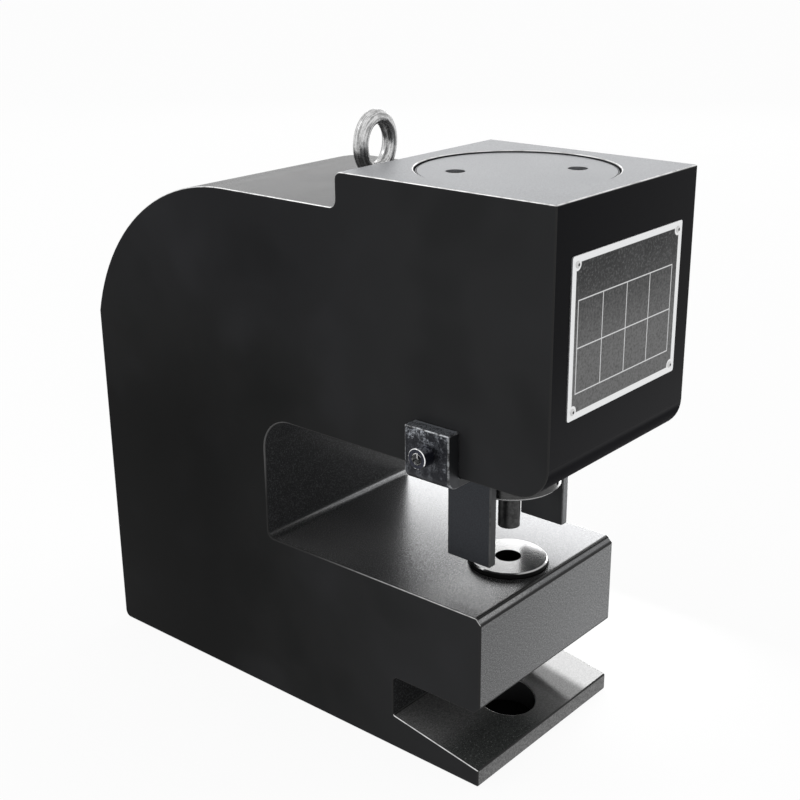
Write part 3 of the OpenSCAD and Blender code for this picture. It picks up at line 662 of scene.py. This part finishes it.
def break_edges(name, width, worn):
    """Bevels a node's sharp edges and gives the bevels a material of their own."""
    o = nodes[name]
    weld = o.modifiers.new("weld", "WELD")
    weld.merge_threshold = SAME_POINT
    flat = o.modifiers.new("flat", "DECIMATE")
    flat.decimate_type = "DISSOLVE"
    flat.angle_limit = SAME_FACE_ANGLE
    bevel = o.modifiers.new("break", "BEVEL")
    bevel.width = width
    bevel.segments = BREAK_SEGMENTS
    bevel.limit_method = "ANGLE"
    bevel.angle_limit = EDGE_ANGLE
    bevel.miter_outer = "MITER_ARC"
    bevel.use_clamp_overlap = False
    bevel.loop_slide = False
    o.data.materials.append(worn)
    bevel.material = 1
    o.data.polygons.foreach_set("use_smooth", [True] * len(o.data.polygons))
    o.data.update()
    shade = o.modifiers.new("shade", "WEIGHTED_NORMAL")
    shade.weight = FLAT_FACE_WEIGHT


blackened_edge = stripper_edge()
oxide_edge = metal("black_oxide_edge", grey(0.05), grey(0.97), (0.18, 0.3), 260, turn=(0.44, 0.54))
break_edges("frame", EDGE_BREAK, frame_edge())
for side in ("left", "right"):
    break_edges(side + "_stripper", EDGE_BREAK, blackened_edge)
    break_edges(side + "_stripper_screw", SCREW_EDGE_BREAK, oxide_edge)

# Springs as fine coils, in place of the plainer CAD springs
RINGS_A_TURN = 48
WIRE_SIDES = 16
END_PITCH = 1.1  # of the first and last turn, in wires


def coil_spring(node, wire, turns, axis):
    """A coil along an axis in the node's box, with close end turns."""
    low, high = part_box(node)
    right = Vector((1.0, 0.0, 0.0))
    across = axis.cross(right)
    foot = (low + high) / 2
    foot = foot - axis * (foot - low).dot(axis)
    height = (high - low).dot(axis)
    mean_r = (high.x - low.x - wire) / 2
    end_pitch = wire * END_PITCH
    pitch = (height - wire - 2 * end_pitch) / (turns - 2)
    rings, sides = RINGS_A_TURN * turns, WIRE_SIDES
    points, faces = [], []
    for i in range(rings + 1):
        u = turns * i / rings
        middle = max(0, min(u, turns - 1) - 1)
        rise = min(u, 1) * end_pitch + middle * pitch + max(0, u - turns + 1) * end_pitch
        out = right * math.cos(math.tau * u) + across * math.sin(math.tau * u)
        for k in range(sides):
            a = math.tau * k / sides
            up = wire / 2 * (1 + math.sin(a)) + rise
            points.append(foot + out * (mean_r + wire / 2 * math.cos(a)) + axis * up)
    for i in range(rings):
        for k in range(sides):
            a, b = i * sides + k, i * sides + (k + 1) % sides
            faces.append((a, a + sides, b + sides, b))
    faces.append(tuple(range(sides)))
    faces.append(tuple(range((rings + 1) * sides - 1, rings * sides - 1, -1)))
    mesh = bpy.data.meshes.new(node + "_coil")
    mesh.from_pydata(points, [], faces)
    mesh.polygons.foreach_set("use_smooth", [True] * (rings * sides) + [False, False])
    mesh.materials.append(spring)
    o = bpy.data.objects.new(node + "_coil", mesh)
    scene.collection.objects.link(o)
    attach(o, "frame")
    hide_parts(node)
    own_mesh(o)


UP, BACK = Vector((0.0, 0.0, 1.0)), Vector((0.0, 1.0, 0.0))
coil_spring("return_spring", wire=0.007, turns=4, axis=UP)
coil_spring("coupler_spring", wire=0.0009, turns=7, axis=BACK)


def looked_at(n):
    """1 for rays that look at the backdrop directly, in a reflection or through something, else 0."""
    rays = n.new("LightPath").outputs
    return n.most(rays["Is Camera Ray"], rays["Is Glossy Ray"], rays["Is Transmission Ray"])


# World: white to look at, and a plain soft light on the object
WORLD_LIGHT = 0.55
world = bpy.data.worlds.new("studio")
world.use_nodes = True
scene.world = world
sky = Nodes(world.node_tree)
backdrop = sky.tree.nodes["Background"]
sky.put(backdrop.inputs["Color"], grey(1.0))
sky.put(backdrop.inputs["Strength"], sky.blend(looked_at(sky), WORLD_LIGHT, 1.0))

# Floor: pale and matt, nearly white to look at, with a dark disc of painted shade under the toe's hole
FLOOR_HALF = 20.0
FLOOR_DROP = 0.0003
FLOOR_GLOW = 1.05
FLOOR_GLOW_SHARE = 0.88
mesh = bpy.data.meshes.new("floor")
corners = [(x * FLOOR_HALF, y * FLOOR_HALF, 0) for x, y in ((-1, -1), (1, -1), (1, 1), (-1, 1))]
mesh.from_pydata(corners, [], [(0, 1, 2, 3)])
floor = bpy.data.objects.new("floor", mesh)
floor.location.z = -FLOOR_DROP
scene.collection.objects.link(floor)
pale = bpy.data.materials.new("pale_floor")
pale.use_nodes = True
pale.node_tree.nodes.clear()
ground = Nodes(pale.node_tree)
from_axis = ground.new("VectorMath")
from_axis.operation = "DISTANCE"
ground.put(from_axis.inputs[0], ground.new("TexCoord").outputs["Object"])
ground.put(from_axis.inputs[1], (0.0, axis_y, 0.0))
# Painted shade: a dark disc under the toe's hole
hole_shade = ground.smooth(from_axis.outputs["Value"], TOE_HOLE_R + 0.002, TOE_HOLE_R + 0.005)
matt = ground.new("BsdfDiffuse")
ground.put(matt.inputs["Color"], ground.mix(hole_shade, grey(0.01), grey(0.8)))
glow = ground.new("Emission")
ground.put(glow.inputs["Strength"], FLOOR_GLOW)
both = ground.new("MixShader")
ground.put(both.inputs[0], ground.times(looked_at(ground), hole_shade, FLOOR_GLOW_SHARE))
ground.put(both.inputs[1], matt.outputs[0])
ground.put(both.inputs[2], glow.outputs[0])
ground.put(ground.new("OutputMaterial").inputs[0], both.outputs[0])
mesh.materials.append(pale)


def softbox(name, at, aim, width, height, radiance):
    """An even rectangular lamp that faces a point and isn't seen itself."""
    lamp = bpy.data.lights.new(name, "AREA")
    lamp.shape = "RECTANGLE"
    lamp.size = width
    lamp.size_y = height
    lamp.energy = radiance * math.pi * width * height
    o = bpy.data.objects.new(name, lamp)
    o.location = at
    o.rotation_euler = (Vector(aim) - Vector(at)).to_track_quat("-Z", "Y").to_euler()
    o.visible_camera = False
    scene.collection.objects.link(o)


# A low card close on the right lights the jaw and toe, a far strip the right behind the head, and a softbox the
# upper edges
CARD_X, CARD_BOTTOM, CARD_TOP = 0.21, 0.04, 0.236
card_front, card_rear = axis_y - 0.06, axis_y + 0.33
card_y, card_z = (card_front + card_rear) / 2, (CARD_BOTTOM + CARD_TOP) / 2
card_size = {"width": card_rear - card_front, "height": CARD_TOP - CARD_BOTTOM}
softbox("right_card", (CARD_X, card_y, card_z), (0.0, card_y, card_z), **card_size, radiance=4.0)
softbox("rear_strip", (2.46, 1.54, 0.97), (0.0, -0.117, 0.38), width=2.2, height=0.55, radiance=1.8)
softbox("top_box", (-0.83, 1.42, 1.93), (0.0, -0.03, 0.2), width=0.9, height=0.9, radiance=2.0)

# Camera at the photograph's viewing angle, fitted to the frame's straight edges
AZIMUTH, ELEVATION, ROLL = math.radians(-49.63), math.radians(20.12), math.radians(0.46)
DISTANCE = 0.9119
TARGET = Vector((0.0, -0.02485, 0.2118))
FOCAL_LENGTH, SENSOR_WIDTH = 60.48, 36.0
level = math.cos(ELEVATION)
backward = Vector((math.sin(AZIMUTH) * level, -math.cos(AZIMUTH) * level, math.sin(ELEVATION)))
right = Vector((math.cos(AZIMUTH), math.sin(AZIMUTH), 0.0))
up = backward.cross(right)
turned_right = right * math.cos(ROLL) - up * math.sin(ROLL)
turned_up = up * math.cos(ROLL) + right * math.sin(ROLL)
turn = Matrix((turned_right, turned_up, backward)).transposed().to_4x4()
lens = bpy.data.cameras.new("camera")
lens.lens = FOCAL_LENGTH
lens.sensor_width = SENSOR_WIDTH
lens.sensor_fit = "HORIZONTAL"
lens.clip_start = 0.01
camera = bpy.data.objects.new("camera", lens)
camera.matrix_world = Matrix.Translation(TARGET + backward * DISTANCE) @ turn
scene.collection.objects.link(camera)
scene.camera = camera
scene.view_settings.view_transform = "Standard"
